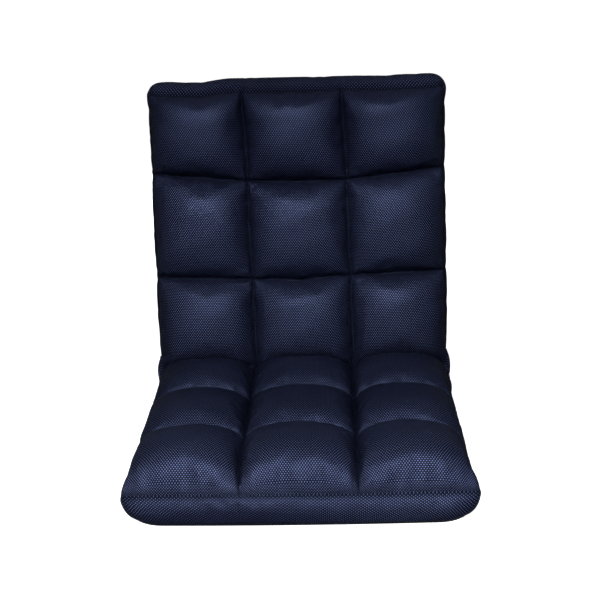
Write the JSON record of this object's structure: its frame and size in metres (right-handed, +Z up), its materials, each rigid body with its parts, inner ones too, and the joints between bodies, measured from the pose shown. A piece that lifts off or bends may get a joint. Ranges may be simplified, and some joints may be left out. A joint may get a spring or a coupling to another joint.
{
  "type": "folding floor chair",
  "caption": "Legless folding floor chair with a quilted mesh seat and back on steel frames, joined by ratchet hinges that hold the back upright, reclined or flat.",
  "frame": {"origin": "on the floor at the middle of the seat's flat underside", "axes": "+Z up, +X to the right of a person looking at the chair from its front, +Y from the seat's front edge towards the back"},
  "size_m": [0.51, 0.6251, 0.5703],
  "materials": {
    "mesh_cloth": "navy three-dimensional air mesh, matt with a soft sheen",
    "lining_cloth": "matt black plain weave",
    "backing_cloth": "navy plain-weave polyester, matt",
    "foam": "open-cell polyurethane foam",
    "coated_tube": "black powder coat, satin",
    "plated_plate": "zinc plated",
    "bright_rivet": "bright steel"
  },
  "bodies": {
    "seat": {"seat_frame_tube": "coated_tube", "seat_cross_tubes": "coated_tube", "seat_foam_slab": "foam", "seat_boxing_band": "mesh_cloth", "seat_base_cloth": "lining_cloth", "hinge_rear_wrap": "backing_cloth", "seat_rear_row_puffs": "mesh_cloth", "seat_middle_row_puffs": "mesh_cloth", "seat_front_row_puffs": "mesh_cloth", "hinge_gusset_left": "mesh_cloth", "hinge_outer_plate_left": "plated_plate", "hinge_inner_plate_left": "plated_plate", "hinge_pivot_rivet_left": "bright_rivet", "hinge_pawl_pin_left": "bright_rivet", "hinge_plate_rivets_left": "bright_rivet", "hinge_pawl_spring_left": "bright_rivet", "hinge_gusset_right": "mesh_cloth", "hinge_outer_plate_right": "plated_plate", "hinge_inner_plate_right": "plated_plate", "hinge_pivot_rivet_right": "bright_rivet", "hinge_pawl_pin_right": "bright_rivet", "hinge_plate_rivets_right": "bright_rivet", "hinge_pawl_spring_right": "bright_rivet"},
    "back": {"back_frame_tube": "coated_tube", "back_cross_tubes": "coated_tube", "back_foam_slab": "foam", "back_boxing_band": "mesh_cloth", "back_rear_cloth": "backing_cloth", "back_lower_row_puffs": "mesh_cloth", "back_middle_row_puffs": "mesh_cloth", "back_top_row_puffs": "mesh_cloth", "hinge_ratchet_arm_left": "plated_plate", "hinge_arm_rivets_left": "bright_rivet", "hinge_ratchet_arm_right": "plated_plate", "hinge_arm_rivets_right": "bright_rivet"},
    "pawl_left": {"hinge_pawl_left": "plated_plate"},
    "pawl_right": {"hinge_pawl_right": "plated_plate"}
  },
  "joints": [
    {"name": "back_recline", "type": "hinge", "parent": "seat", "child": "back", "pos_m": [0, 0.2535, 0.05], "axis": [-1, 0, 0], "range_deg": [-67.5, 82.5], "deforming": ["seat_rear_row_puffs", "back_lower_row_puffs", "hinge_gusset_left", "hinge_gusset_right", "hinge_rear_wrap"]},
    {"name": "pawl_left_lift", "type": "hinge", "parent": "seat", "child": "pawl_left", "pos_m": [-0.233, 0.22595, 0.05702], "axis": [-1, 0, 0], "range_deg": [0, 8], "stiffness_Nm_per_rad": 0.05, "springref_deg": -11.46, "deforming": ["hinge_pawl_spring_left"]},
    {"name": "pawl_right_lift", "type": "hinge", "parent": "seat", "child": "pawl_right", "pos_m": [0.233, 0.22595, 0.05702], "axis": [-1, 0, 0], "range_deg": [0, 8], "stiffness_Nm_per_rad": 0.05, "springref_deg": -11.46, "deforming": ["hinge_pawl_spring_right"]}
  ]
}
